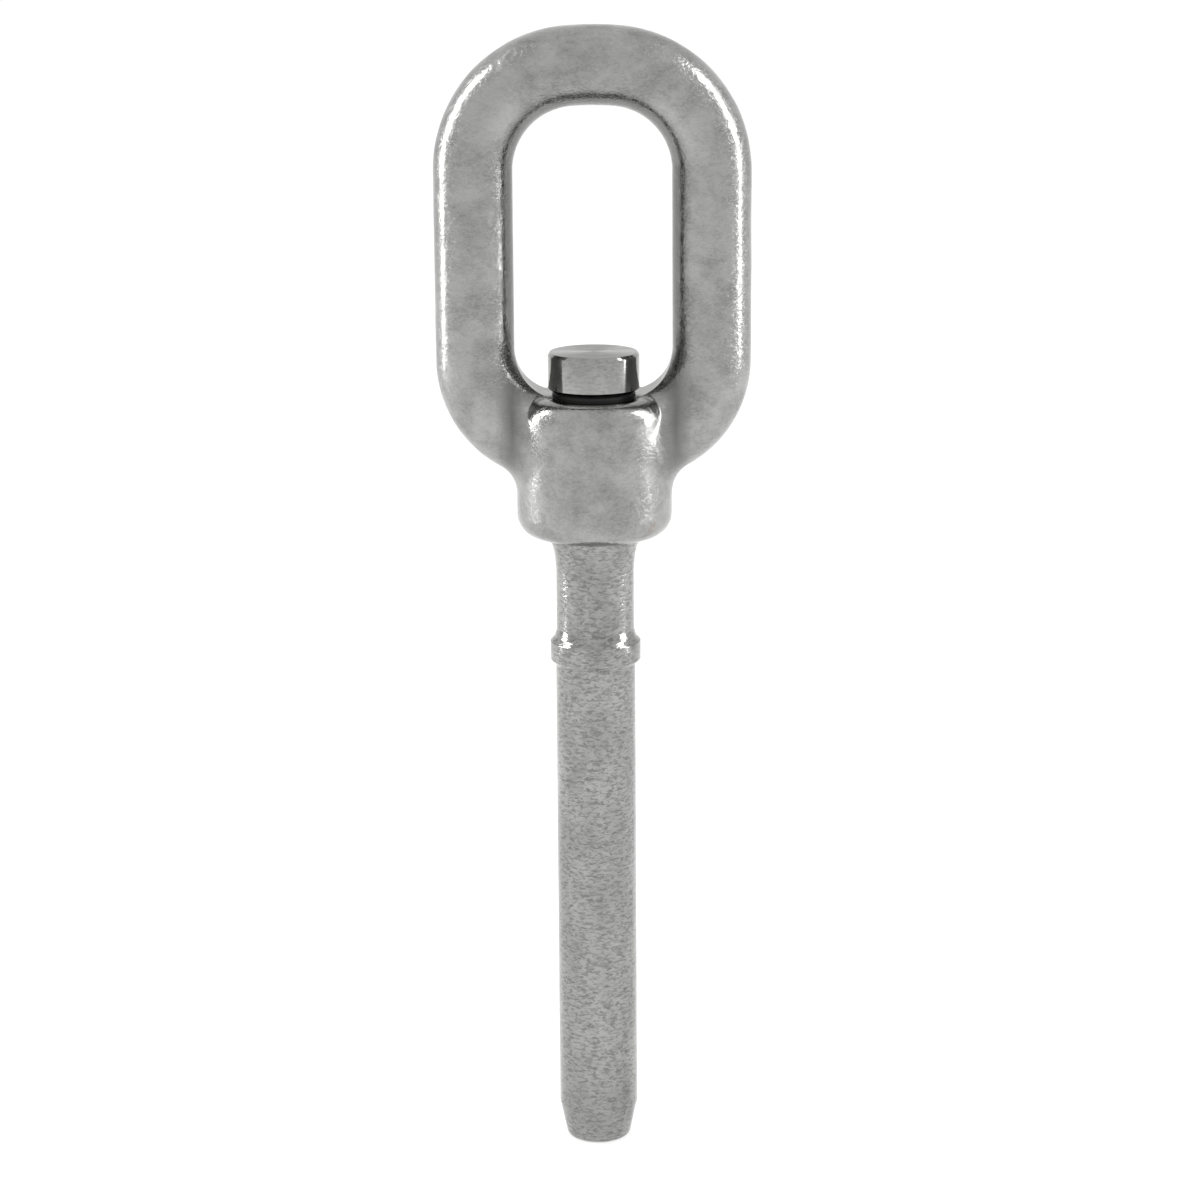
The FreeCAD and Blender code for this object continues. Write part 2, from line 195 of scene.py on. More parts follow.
class Finish:
    """A node material that is built up by short calls."""

    def __init__(self, name, metallic, roughness, colour):
        self.material = bpy.data.materials.new(name)
        self.material.use_nodes = True
        self.tree = self.material.node_tree
        self.shader = self.tree.nodes["Principled BSDF"]
        self.shader.inputs["Metallic"].default_value = metallic
        self.shader.inputs["Roughness"].default_value = roughness
        self.shader.inputs["Base Color"].default_value = (*colour, 1)
        self.coordinates = self.node("ShaderNodeTexCoord").outputs["Object"]

    def node(self, kind, **settings):
        made = self.tree.nodes.new(kind)
        for key, value in settings.items():
            if key in made.inputs:
                made.inputs[key].default_value = value
            else:
                setattr(made, key, value)
        return made

    def link(self, source, target):
        self.tree.links.new(source, target)

    def maths(self, operation, first, second=0.0, clamp=False):
        made = self.node("ShaderNodeMath", operation=operation, use_clamp=clamp)
        for index, value in enumerate((first, second)):
            if isinstance(value, (int, float)):
                made.inputs[index].default_value = value
            else:
                self.link(value, made.inputs[index])
        return made.outputs[0]

    def axis(self, name):
        split = self.node("ShaderNodeSeparateXYZ")
        self.link(self.coordinates, split.inputs[0])
        return split.outputs[name]

    def radius(self):
        """Distance from the shank's axis, in metres."""
        flatten = self.node("ShaderNodeVectorMath", operation="MULTIPLY")
        flatten.inputs[1].default_value = (1, 1, 0)
        self.link(self.coordinates, flatten.inputs[0])
        length = self.node("ShaderNodeVectorMath", operation="LENGTH")
        self.link(flatten.outputs[0], length.inputs[0])
        return length.outputs["Value"]

    def noise(self, size_mm, detail=3.0, roughness=0.5, stretch=(1, 1, 1), distortion=0.0, place=None):
        """Noise whose features are about size_mm across, drawn out by stretch."""
        mapping = self.node("ShaderNodeMapping")
        mapping.inputs["Scale"].default_value = [1 / value for value in stretch]
        self.link(place or self.coordinates, mapping.inputs["Vector"])
        made = self.node("ShaderNodeTexNoise")
        made.inputs["Scale"].default_value = 1 / (size_mm * MM)
        made.inputs["Detail"].default_value = detail
        made.inputs["Roughness"].default_value = roughness
        made.inputs["Distortion"].default_value = distortion
        self.link(mapping.outputs[0], made.inputs["Vector"])
        return made.outputs["Fac"]

    def ramp(self, value, low, high, to_low=0.0, to_high=1.0):
        made = self.node("ShaderNodeMapRange")
        for key, number in (("From Min", low), ("From Max", high), ("To Min", to_low), ("To Max", to_high)):
            made.inputs[key].default_value = number
        self.link(value, made.inputs["Value"])
        return made.outputs[0]

    def blend(self, factor, first, second):
        """Colour: first where factor is 0 and second where it is 1."""
        made = self.node("ShaderNodeMix", data_type="RGBA")
        self.link(factor, made.inputs["Factor"])
        for socket, value in ((made.inputs[6], first), (made.inputs[7], second)):
            if isinstance(value, tuple):
                socket.default_value = (*value, 1)
            else:
                self.link(value, socket)
        return made.outputs[2]

    def colour(self, source):
        self.link(source, self.shader.inputs["Base Color"])

    def roughness(self, source):
        self.link(source, self.shader.inputs["Roughness"])

    def bump(self, layers):
        """Relief in layers of (height source, depth in millimetres)."""
        normal = None
        for height, depth in layers:
            made = self.node("ShaderNodeBump")
            made.inputs["Strength"].default_value = 1.0
            made.inputs["Distance"].default_value = depth * MM
            self.link(height, made.inputs["Height"])
            if normal is not None:
                self.link(normal, made.inputs["Normal"])
            normal = made.outputs[0]
        self.link(normal, self.shader.inputs["Normal"])

    def turned_grain(self, amount):
        """Stretches highlights across circular tool marks about Z."""
        tangent = self.node("ShaderNodeTangent", direction_type="RADIAL", axis="Z")
        self.link(tangent.outputs[0], self.shader.inputs["Tangent"])
        self.shader.inputs["Anisotropic"].default_value = amount
        self.shader.inputs["Anisotropic Rotation"].default_value = 0.25


STEEL = (0.36, 0.36, 0.355)
STEEL_DULL = (0.27, 0.27, 0.265)
STEEL_DARK = (0.14, 0.14, 0.137)
STEEL_WARM = (0.27, 0.24, 0.21)
STAIN = (0.30, 0.19, 0.12)
STAIN_SPOT = (0.0087, -0.0077, 0.0222)


def forged_finish():
    """Tumbled forging: fine crinkles, short creases and hair marks; shallower on the hub. Its darker
    crinkle hollows and inner faces are painted shade.
    """
    finish = Finish("polished_forging", 1.0, 0.16, STEEL)
    straightened = finish.node("ShaderNodeAttribute", attribute_name="grain").outputs["Vector"]
    on_hub = finish.maths(
        "MULTIPLY",
        finish.ramp(finish.radius(), 0.0135, 0.0115),
        finish.ramp(finish.axis("Z"), 0.043, 0.040),
    )
    patches = finish.noise(4.0, 2.0, 0.5)
    depth = finish.maths(
        "MULTIPLY",
        finish.ramp(on_hub, 0, 1, 1.0, 0.6),
        finish.ramp(patches, 0.35, 0.65, 0.5, 1.2),
    )
    crinkle = finish.noise(0.5, 2.5, 0.55, stretch=(1.5, 1.5, 1), distortion=1.2)
    crease_field = finish.noise(1.1, 2.0, 0.5, distortion=2.0)
    crease_line = finish.maths("ABSOLUTE", finish.maths("SUBTRACT", crease_field, 0.5))
    crease = finish.ramp(crease_line, 0.0, 0.03)
    hairs = finish.noise(0.3, 2.0, 0.5, stretch=(1, 6, 6), distortion=0.8, place=straightened)
    pits = finish.ramp(finish.noise(0.3, 1.0), 0.70, 0.77, 1, 0)
    finish.bump([
        (finish.maths("MULTIPLY", crinkle, depth), 0.055),
        (finish.maths("MULTIPLY", crease, depth), 0.008),
        (finish.maths("MULTIPLY", hairs, depth), 0.016),
        (finish.maths("MULTIPLY", hub_arcs(finish), on_hub), 0.005),
        (pits, 0.008),
    ])
    finish.roughness(finish.ramp(patches, 0.3, 0.7, 0.10, 0.17))
    split = finish.node("ShaderNodeSeparateXYZ")
    finish.link(straightened, split.inputs[0])
    # Painted shade: the eye's inner faces are darkened, as the eye's own shade on them.
    inner = finish.ramp(split.outputs["Y"], -0.0030, -0.0056)
    patchy = finish.ramp(patches, 0.3, 0.7, 0.3, 0.9)
    # Painted shade: darker in the hollows of the crinkle relief, more in some patches.
    hollows = finish.maths("MULTIPLY", finish.ramp(crinkle, 0.58, 0.36), patchy)
    tone = finish.blend(finish.ramp(patches, 0.35, 0.7), STEEL, STEEL_DULL)
    # Painted shade in the crinkle hollows.
    tone = finish.blend(finish.maths("MULTIPLY", hollows, 0.5), tone, STEEL_DARK)
    # Painted shade on the eye's inner faces, less on the hub.
    tone = finish.blend(finish.maths("MULTIPLY", inner, finish.ramp(on_hub, 0, 1, 1, 0)), tone, STEEL_DARK)
    away = finish.node("ShaderNodeVectorMath", operation="DISTANCE")
    away.inputs[1].default_value = STAIN_SPOT
    finish.link(finish.coordinates, away.inputs[0])
    stain = finish.maths(
        "MULTIPLY",
        finish.ramp(away.outputs["Value"], 0.0012, 0.0003),
        finish.ramp(finish.noise(0.5, 3.0, 0.6), 0.48, 0.56),
    )
    finish.colour(finish.blend(finish.maths("MULTIPLY", stain, 0.6), tone, STAIN))
    return finish.material


def hub_arcs(finish):
    """Columns of U-shaped ripples up the hub, four round it, as the dressing wheel leaves them."""
    split = finish.node("ShaderNodeSeparateXYZ")
    finish.link(finish.coordinates, split.inputs[0])
    turn = finish.maths("ARCTAN2", split.outputs["X"], finish.maths("MULTIPLY", split.outputs["Y"], -1.0))
    quarter = math.pi / 2
    centred = finish.maths("ADD", turn, quarter / 2 - 0.34 + 4 * quarter)
    column = finish.maths("SUBTRACT", finish.maths("MODULO", centred, quarter), quarter / 2)
    side = finish.maths("MULTIPLY", column, 0.0116)
    bow = finish.maths("MULTIPLY", finish.maths("MULTIPLY", side, side), 1 / 0.005)
    waver = finish.maths("MULTIPLY", finish.noise(2.5, 2.0), 0.0016)
    height = finish.maths("ADD", finish.maths("SUBTRACT", split.outputs["Z"], bow), waver)
    ripple = finish.maths("SINE", finish.maths("MULTIPLY", height, 2 * math.pi / 0.0009))
    middle = finish.ramp(finish.maths("ABSOLUTE", side), 0.0025, 0.0012)
    patches = finish.ramp(finish.noise(3.0, 2.0), 0.42, 0.55)
    return finish.maths("MULTIPLY", ripple, finish.maths("MULTIPLY", middle, patches))


def machined_painted_reflection_finish():
    """The saddle's floor: milled fine enough to mirror the head that stands on it, and toned dark as a
    painted dark reflection.
    """
    finish = Finish("machined_saddle_painted_reflection", 1.0, 0.2, STEEL_DARK)
    lines = finish.noise(0.12, 2.0, 0.5, stretch=(1, 30, 1))
    haze = finish.noise(2.5, 2.0)
    finish.bump([(lines, 0.0012)])
    finish.roughness(finish.ramp(haze, 0.3, 0.7, 0.15, 0.26))
    # Painted reflection: the floor is toned dark to stand in for the dark reflection it shows, not because
    # the steel is darker.
    finish.colour(finish.blend(haze, STEEL_DARK, (0.19, 0.187, 0.18)))
    return finish.material


def turned_finish(name, ring_mm, ring_depth, waver_depth, streak_depth):
    """Bright turned steel: fine uneven rings round the axis, a few specks and hazy patches."""
    finish = Finish(name, 1.0, 0.12, STEEL)
    rings = finish.noise(ring_mm, 3.0, 0.6, stretch=(20, 20, 1))
    waver = finish.noise(0.38, 3.0, 0.6, stretch=(2.4, 2.4, 1), distortion=0.8)
    patch = finish.ramp(finish.noise(3.0, 3.0, 0.6, stretch=(1, 1, 1.5)), 0.35, 0.65, 0.35, 1.3)
    haze = finish.noise(4.0, 2.0, 0.5, stretch=(1, 1, 2))
    specks = finish.ramp(finish.noise(0.55, 1.0), 0.77, 0.80)
    finish.bump([(finish.maths("MULTIPLY", waver, patch), waver_depth), (rings, ring_depth)])
    finish.roughness(finish.ramp(haze, 0.3, 0.7, 0.08, 0.17))
    streaks = finish.maths("MULTIPLY", finish.ramp(waver, 0.56, 0.36), streak_depth)
    tone = finish.blend(finish.ramp(haze, 0.3, 0.75), STEEL, STEEL_DULL)
    tone = finish.blend(streaks, tone, STEEL_DARK)
    finish.colour(finish.blend(specks, tone, STEEL_WARM))
    finish.turned_grain(0.5)
    return finish.material


def faced_finish():
    """The button's facing: fine rings about the centre."""
    finish = Finish("faced_steel", 1.0, 0.2, STEEL)
    wave = finish.maths("SINE", finish.maths("MULTIPLY", finish.radius(), 2 * math.pi / (0.16 * MM)))
    haze = finish.noise(2.5, 2.0)
    finish.bump([(wave, 0.0012)])
    finish.roughness(finish.ramp(haze, 0.3, 0.7, 0.30, 0.36))
    finish.colour(finish.blend(haze, STEEL, STEEL_DULL))
    finish.turned_grain(0.9)
    return finish.material


def ground_finish(name, colour, darker, roughness):
    """Ground or machined inner pieces: fine rings and a slow change of tone."""
    finish = Finish(name, 1.0, roughness, colour)
    rings = finish.noise(0.15, 2.0, 0.5, stretch=(20, 20, 1))
    haze = finish.noise(2.0, 2.0)
    finish.bump([(rings, 0.002)])
    finish.roughness(finish.ramp(haze, 0.3, 0.7, roughness * 0.8, roughness * 1.3))
    finish.colour(finish.blend(haze, colour, darker))
    return finish.material


def soft_finish(name, colour, lighter, roughness):
    finish = Finish(name, 0.0, roughness, colour)
    grain = finish.noise(0.2, 3.0)
    haze = finish.noise(1.5, 2.0)
    finish.bump([(grain, 0.006)])
    finish.roughness(finish.ramp(haze, 0.3, 0.7, roughness * 0.85, roughness * 1.15))
    finish.colour(finish.blend(haze, colour, lighter))
    return finish.material


FORGED = forged_finish()
MACHINED_PAINTED_REFLECTION = machined_painted_reflection_finish()
TURNED = turned_finish("turned_shank", 0.4, 0.012, 0.045, 0.8)
TURNED_HEAD = turned_finish("turned_head", 0.35, 0.006, 0.010, 0.4)
FACED = faced_finish()
GROUND = ground_finish("ground_race", (0.56, 0.56, 0.56), (0.46, 0.46, 0.47), 0.16)
DOWEL = ground_finish("ground_dowel", (0.50, 0.50, 0.50), (0.40, 0.40, 0.41), 0.28)
BALL = ground_finish("polished_ball", (0.72, 0.72, 0.73), (0.66, 0.66, 0.68), 0.06)
BRASS = ground_finish("cage_brass", (0.74, 0.55, 0.24), (0.62, 0.44, 0.18), 0.3)
BRONZE = ground_finish("bush_bronze", (0.62, 0.42, 0.22), (0.50, 0.33, 0.17), 0.34)
# Black rubber and black polymer. Their black also serves as painted shade in the gaps under the head and
# under the hub, where the seal ring and thrust washer show.
BLACK_RUBBER_AND_GAP_SHADE = soft_finish("seal_rubber", (0.012, 0.012, 0.012), (0.03, 0.03, 0.03), 0.5)
BLACK_POLYMER_AND_GAP_SHADE = soft_finish("washer_polymer", (0.02, 0.02, 0.02), (0.05, 0.05, 0.05), 0.42)


# Eye forging. One bar is swept round the eye, with its ends swelling into the
# hub; the two are then blended, given the forging's relief and machined.

BAR_RADIUS = 5.83
LEG_X = 17.5
ARCH_CROWN_RADIUS = 46.2
ARCH_SHOULDER_RADIUS = 15.2
ARCH_SPRING_Z = 74.3
ROOT_INNER_RADIUS = 5.35
ROOT_INNER_Z = 48.1
ROOT_OUTER_RADIUS = 18.2
ROOT_OUTER_Z = 46.3
ROOT_BLEND_RADIUS = 5.5
ROOT_HALF_WIDTH = 6.6
ROOT_BLEND_SINK = 0.35
ROOT_DOME = 4.5
HUB_RADIUS = 11.6
HUB_BOTTOM = 19.85
HUB_TOP = 41.05
HUB_BOTTOM_ROUND = 3.3
HUB_RIM_ROUND = 3.0
HUB_RIM_ALLOWANCE = 0.15
BORE_RADIUS = 5.0
COUNTERBORE_RADIUS = 6.15
COUNTERBORE_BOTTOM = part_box("lower_race")[0].z / MM
SADDLE_HALF_WIDTH = 11.62
SADDLE_CORNER_RADIUS = 6.8
SADDLE_HEIGHT = 12.0
BAR_POINTS = 96
VOXEL = 0.32
RELIEF_SINK = 0.03


def arch_rows():
    """Sections of the arch, from its middle to the leg: (centre, way out, reach, half width)."""
    span = ARCH_CROWN_RADIUS - ARCH_SHOULDER_RADIUS
    spring_x = LEG_X - ARCH_SHOULDER_RADIUS
    lean = math.asin(spring_x / span)
    crown_z = ARCH_SPRING_Z - span * math.cos(lean)
    rows = []
    for step in range(6):
        angle = lean * step / 6
        way = (math.sin(angle), math.cos(angle))
        centre = (ARCH_CROWN_RADIUS * way[0], crown_z + ARCH_CROWN_RADIUS * way[1])
        rows.append((centre, way, BAR_RADIUS, BAR_RADIUS))
    for step in range(40):
        angle = lean + (math.pi / 2 - lean) * step / 40
        way = (math.sin(angle), math.cos(angle))
        centre = (spring_x + ARCH_SHOULDER_RADIUS * way[0], ARCH_SPRING_Z + ARCH_SHOULDER_RADIUS * way[1])
        rows.append((centre, way, BAR_RADIUS, BAR_RADIUS))
    return rows


def leg_rows():
    rows = []
    for step in range(30):
        height = ARCH_SPRING_Z + (ROOT_INNER_Z + 1.0 - ARCH_SPRING_Z) * step / 29
        rows.append(((LEG_X, height), (1, 0), BAR_RADIUS, BAR_RADIUS))
    return rows


def root_rows():
    """Sections of the root, between its tight inner bend and its wide outer one."""
    outer_x = LEG_X + BAR_RADIUS - ROOT_OUTER_RADIUS
    hollow_x = HUB_RADIUS - ROOT_BLEND_SINK + ROOT_BLEND_RADIUS
    drop_z = math.sqrt((ROOT_OUTER_RADIUS + ROOT_BLEND_RADIUS) ** 2 - (hollow_x - outer_x) ** 2)
    hollow_z = ROOT_OUTER_Z - drop_z
    turn = math.atan2(drop_z, hollow_x - outer_x)
    inner_x = LEG_X - BAR_RADIUS - ROOT_INNER_RADIUS
    rows = []
    for step in range(1, 61):
        share = 2 * step / 60
        angle = math.pi / 4 * share
        inner = np.array((
            inner_x + ROOT_INNER_RADIUS * math.cos(angle),
            ROOT_INNER_Z - ROOT_INNER_RADIUS * math.sin(angle),
        ))
        if share <= 1:
            outer = np.array((
                outer_x + ROOT_OUTER_RADIUS * math.cos(turn * share),
                ROOT_OUTER_Z - ROOT_OUTER_RADIUS * math.sin(turn * share),
            ))
        else:
            angle = math.pi - turn * (2 - share)
            outer = np.array((
                hollow_x + ROOT_BLEND_RADIUS * math.cos(angle),
                hollow_z + ROOT_BLEND_RADIUS * math.sin(angle),
            ))
        reach = np.linalg.norm(outer - inner) / 2
        half_width = BAR_RADIUS + (ROOT_HALF_WIDTH - BAR_RADIUS) * (share / 2) ** 1.5
        rows.append(((inner + outer) / 2, (outer - inner) / 2 / reach, reach, half_width))
    # A domed end inside the hub, so that distances to the bar stay smooth there.
    way = (outer - inner) / 2 / reach
    inwards = np.array((-way[1], way[0])) if way[1] > 0 else np.array((way[1], -way[0]))
    for step in range(1, 10):
        angle = math.pi / 2 * step / 9
        centre = (inner + outer) / 2 + inwards * ROOT_DOME * math.sin(angle)
        rows.append((centre, way, reach * math.cos(angle), half_width * math.cos(angle)))
    return rows


def mirrored(row):
    (x, z), (way_x, way_z), reach, half_width = row
    return (-x, z), (-way_x, way_z), reach, half_width


def sweep_tree():
    """Geometry nodes that skin a path: at each point an oval, reach along way by half_width along Y."""
    tree = bpy.data.node_groups.new("oval_sweep", "GeometryNodeTree")
    tree.interface.new_socket("Path", in_out="INPUT", socket_type="NodeSocketGeometry")
    tree.interface.new_socket("Points round", in_out="INPUT", socket_type="NodeSocketInt")
    tree.interface.new_socket("Metal", in_out="INPUT", socket_type="NodeSocketMaterial")
    tree.interface.new_socket("Bar", in_out="OUTPUT", socket_type="NodeSocketGeometry")

    def node(kind, **settings):
        made = tree.nodes.new(kind)
        for key, value in settings.items():
            setattr(made, key, value)
        return made

    def link(source, target):
        tree.links.new(source, target)

    def join(made, *values):
        for socket, value in zip(made.inputs, values):
            if isinstance(value, (int, float)):
                socket.default_value = value
            else:
                link(value, socket)
        return made.outputs[0]

    def maths(operation, *values):
        return join(node("ShaderNodeMath", operation=operation), *values)

    given = node("NodeGroupInput").outputs
    size = node("GeometryNodeAttributeDomainSize", component="MESH")
    link(given["Path"], size.inputs["Geometry"])
    columns = maths("ADD", given["Points round"], 1)
    grid = node("GeometryNodeMeshGrid")
    link(size.outputs["Point Count"], grid.inputs["Vertices X"])
    link(columns, grid.inputs["Vertices Y"])
    index = node("GeometryNodeInputIndex").outputs[0]
    row = maths("FLOOR", maths("DIVIDE", maths("ADD", index, 0.5), columns))
    step = maths("SUBTRACT", index, maths("MULTIPLY", row, columns))
    angle = maths("MULTIPLY", maths("DIVIDE", step, given["Points round"]), 2 * math.pi)

    def of_path(kind, source):
        sample = node("GeometryNodeSampleIndex", data_type=kind, domain="POINT")
        link(given["Path"], sample.inputs["Geometry"])
        link(source, sample.inputs["Value"])
        link(row, sample.inputs["Index"])
        return sample.outputs[0]

    def stored(kind, name):
        attribute = node("GeometryNodeInputNamedAttribute", data_type=kind)
        attribute.inputs["Name"].default_value = name
        return of_path(kind, attribute.outputs[0])

    centre = of_path("FLOAT_VECTOR", node("GeometryNodeInputPosition").outputs[0])
    along = maths("MULTIPLY", stored("FLOAT", "reach"), maths("COSINE", angle))
    across = maths("MULTIPLY", stored("FLOAT", "half_width"), maths("SINE", angle))
    outwards = node("ShaderNodeVectorMath", operation="SCALE")
    link(stored("FLOAT_VECTOR", "way"), outwards.inputs[0])
    link(along, outwards.inputs["Scale"])
    sideways = node("ShaderNodeCombineXYZ")
    link(across, sideways.inputs["Y"])
    offset = join(node("ShaderNodeVectorMath", operation="ADD"), outwards.outputs[0], sideways.outputs[0])
    place = join(node("ShaderNodeVectorMath", operation="ADD"), centre, offset)
    skin = node("GeometryNodeSetPosition")
    link(grid.outputs["Mesh"], skin.inputs["Geometry"])
    link(place, skin.inputs["Position"])
    weld = node("GeometryNodeMergeByDistance")
    weld.inputs["Distance"].default_value = 1e-6
    link(skin.outputs[0], weld.inputs["Geometry"])
    realize = node("GeometryNodeRealizeInstances")
    link(weld.outputs[0], realize.inputs[0])
    metal = node("GeometryNodeSetMaterial")
    link(realize.outputs[0], metal.inputs["Geometry"])
    link(given["Metal"], metal.inputs["Material"])
    link(metal.outputs[0], node("NodeGroupOutput").inputs["Bar"])
    return tree


def bar_mesh():
    right = arch_rows() + leg_rows() + root_rows()
    rows = [mirrored(row) for row in reversed(right[1:])] + right
    path = bpy.data.meshes.new("bar_path")
    edges = [(index, index + 1) for index in range(len(rows) - 1)]
    path.from_pydata(metres([(x, 0, z) for (x, z), _, _, _ in rows]), edges, [])
    ways = path.attributes.new("way", "FLOAT_VECTOR", "POINT")
    ways.data.foreach_set("vector", [value for _, (x, z), _, _ in rows for value in (x, 0, z)])
    for column, name in ((2, "reach"), (3, "half_width")):
        layer = path.attributes.new(name, "FLOAT", "POINT")
        layer.data.foreach_set("value", [row[column] * MM for row in rows])
    piece = add_object("bar", path)
    modifier = piece.modifiers.new("sweep", "NODES")
    modifier.node_group = sweep_tree()
    settings = {"Points round": BAR_POINTS, "Metal": FORGED}
    for item in modifier.node_group.interface.items_tree:
        if item.name in settings:
            modifier[item.identifier] = settings[item.name]
    mesh = evaluated(piece)
    drop(piece)
    outward(mesh)
    return mesh


def hub_mesh():
    top = HUB_TOP + HUB_RIM_ALLOWANCE
    profile = rounded([
        (0, HUB_BOTTOM, 0),
        (HUB_RADIUS, HUB_BOTTOM, HUB_BOTTOM_ROUND),
        (HUB_RADIUS, top, HUB_RIM_ROUND),
        (0, top, 0),
    ])
    return lathe("hub", profile)


def joined(first, second):
    shape = bmesh.new()
    shape.from_mesh(first)
    shape.from_mesh(second)
    mesh = bpy.data.meshes.new("joined")
    shape.to_mesh(mesh)
    shape.free()
    return mesh


def remeshed(mesh):
    piece = add_object("blank", mesh)
    modifier = piece.modifiers.new("remesh", "REMESH")
    modifier.mode = "VOXEL"
    modifier.voxel_size = VOXEL * MM
    result = evaluated(piece)
    drop(piece)
    return result


def surface_distance(tree, point):
    spot, normal, _, distance = tree.find_nearest(point)
    side = (point - spot).dot(normal)
    way = point - spot
    if distance < 1e-9:
        return 0.0, normal
    if side < 0:
        return -distance, -way / distance
    return distance, way / distance


def blend_reach(point):
    """How far the bar and the hub run into each other, in metres: tight at the rim, wide in the hollow."""
    height = point.z / MM
    return np.interp(height, (26.0, 28.5, 33.0, 36.0, 39.5), (0.5, 1.3, 3.2, 2.4, 0.55)) * MM


def blend_onto(mesh, bar, hub):
    """Moves each point onto the smooth union of the bar and the hub."""
    bar_tree = BVHTree.FromPolygons([v.co for v in bar.vertices], [p.vertices for p in bar.polygons])
    hub_tree = BVHTree.FromPolygons([v.co for v in hub.vertices], [p.vertices for p in hub.polygons])
    for vertex in mesh.vertices:
        point = vertex.co.copy()
        for _ in range(3):
            from_bar, bar_way = surface_distance(bar_tree, point)
            from_hub, hub_way = surface_distance(hub_tree, point)
            reach = blend_reach(point)
            overlap = max(reach - abs(from_bar - from_hub), 0) / reach
            level = min(from_bar, from_hub) - overlap ** 3 * reach / 6
            if abs(level) < 1e-7:
                break
            lean = overlap ** 2 / 2
            if from_bar < from_hub:
                way = bar_way * (1 - lean) + hub_way * lean
            else:
                way = hub_way * (1 - lean) + bar_way * lean
            if way.length < 0.2:
                break
            point = point - way * (level / way.length_squared)
        vertex.co = point


def relief(point):
    """Height of the forging's surface at a point, in metres: slow hollows, calmer on the hub."""
    near_hub = math.hypot(point.x, point.y) / MM < 13 and point.z / MM < 43
    slow = noise.noise(point / (7.0 * MM)) + 0.5 * noise.noise(point / (3.2 * MM))
    return slow * (0.03 if near_hub else 0.045) * MM


def saddle_share(point):
    """1 beside the saddle's walls, where the forging stays even so that the cut ends cleanly, else 0."""
    beside = np.interp(abs(point.x) / MM, (12.2, 13.4), (1.0, 0.0))
    return beside * np.interp(point.z / MM, (40.0, 42.0), (0.0, 1.0))


def add_relief(mesh):
    mesh.update()
    normals = [vertex.normal.copy() for vertex in mesh.vertices]
    for vertex, normal in zip(mesh.vertices, normals):
        even = saddle_share(vertex.co)
        lift = (relief(vertex.co) - RELIEF_SINK * MM) * (1 - even)
        vertex.co = vertex.co + normal * min(lift, 0.03 * MM)


def saddle_mesh():
    """The cutter across the hub's top: a flat floor with round corners up to the legs."""
    flat = SADDLE_HALF_WIDTH - SADDLE_CORNER_RADIUS
    corner_z = HUB_TOP + SADDLE_CORNER_RADIUS
    roof = HUB_TOP + SADDLE_HEIGHT
    outline = []
    for step in range(33):
        angle = math.pi / 2 * step / 32
        x = flat + SADDLE_CORNER_RADIUS * math.sin(angle)
        outline.append((x, corner_z - SADDLE_CORNER_RADIUS * math.cos(angle)))
    outline.append((SADDLE_HALF_WIDTH, roof))
    outline += [(-x, z) for x, z in reversed(outline)]
    half = HUB_RADIUS + 3
    near = [(x, -half, z) for x, z in outline]
    far = [(x, half, z) for x, z in outline]
    count = len(outline)
    faces = [list(range(count)), [count + step for step in reversed(range(count))]]
    for step in range(count):
        nxt = (step + 1) % count
        faces.append([step, nxt, count + nxt, count + step])
    mesh = mesh_from("saddle", near + far, faces)
    outward(mesh)
    return mesh


def bore_mesh():
    chamfer = 0.2
    profile = [
        (0, HUB_BOTTOM - 1),
        (BORE_RADIUS + chamfer + 1, HUB_BOTTOM - 1),
        (BORE_RADIUS, HUB_BOTTOM + chamfer),
        (BORE_RADIUS, COUNTERBORE_BOTTOM),
        (COUNTERBORE_RADIUS, COUNTERBORE_BOTTOM),
        (COUNTERBORE_RADIUS, HUB_TOP - chamfer / 2),
        (COUNTERBORE_RADIUS + chamfer / 2, HUB_TOP),
        (COUNTERBORE_RADIUS + chamfer / 2, HUB_TOP + 1),
        (0, HUB_TOP + 1),
    ]
    return lathe("bore", profile, 128)


def grain(point):
    """Place on the bar as if it were pulled straight, in metres: length from the crown, outwards, across.

    The left half is shifted across, so that its marks don't mirror the right half's.
    """
    x, y, z = point.x / MM, point.y / MM, point.z / MM
    span = ARCH_CROWN_RADIUS - ARCH_SHOULDER_RADIUS
    spring_x = LEG_X - ARCH_SHOULDER_RADIUS
    lean = math.asin(spring_x / span)
    crown_z = ARCH_SPRING_Z - span * math.cos(lean)
    shoulder = ARCH_CROWN_RADIUS * lean
    turn = math.atan2(abs(x) - spring_x, max(z - ARCH_SPRING_Z, 0))
    if z < ARCH_SPRING_Z:
        along = shoulder + ARCH_SHOULDER_RADIUS * (math.pi / 2 - lean) + ARCH_SPRING_Z - z
        out = abs(x) - LEG_X
    elif turn > lean:
        along = shoulder + ARCH_SHOULDER_RADIUS * (turn - lean)
        out = math.hypot(abs(x) - spring_x, z - ARCH_SPRING_Z) - ARCH_SHOULDER_RADIUS
    else:
        along = ARCH_CROWN_RADIUS * math.atan2(abs(x), z - crown_z)
        out = math.hypot(x, z - crown_z) - ARCH_CROWN_RADIUS
    if z < 45.5:
        shift = 0.6 * np.clip(10 - x, 0, 20)
    elif x < 0:
        shift = np.interp(along, (0, 15, 40, 55), (0, 10, 14, 12))
    else:
        shift = 0
    return along * MM, out * MM, (y + shift) * MM


def add_grain(mesh):
    """Stores the place on the straightened bar, for marks that run across it."""
    layer = mesh.attributes.new("grain", "FLOAT_VECTOR", "POINT")
    layer.data.foreach_set("vector", [value for vertex in mesh.vertices for value in grain(vertex.co)])


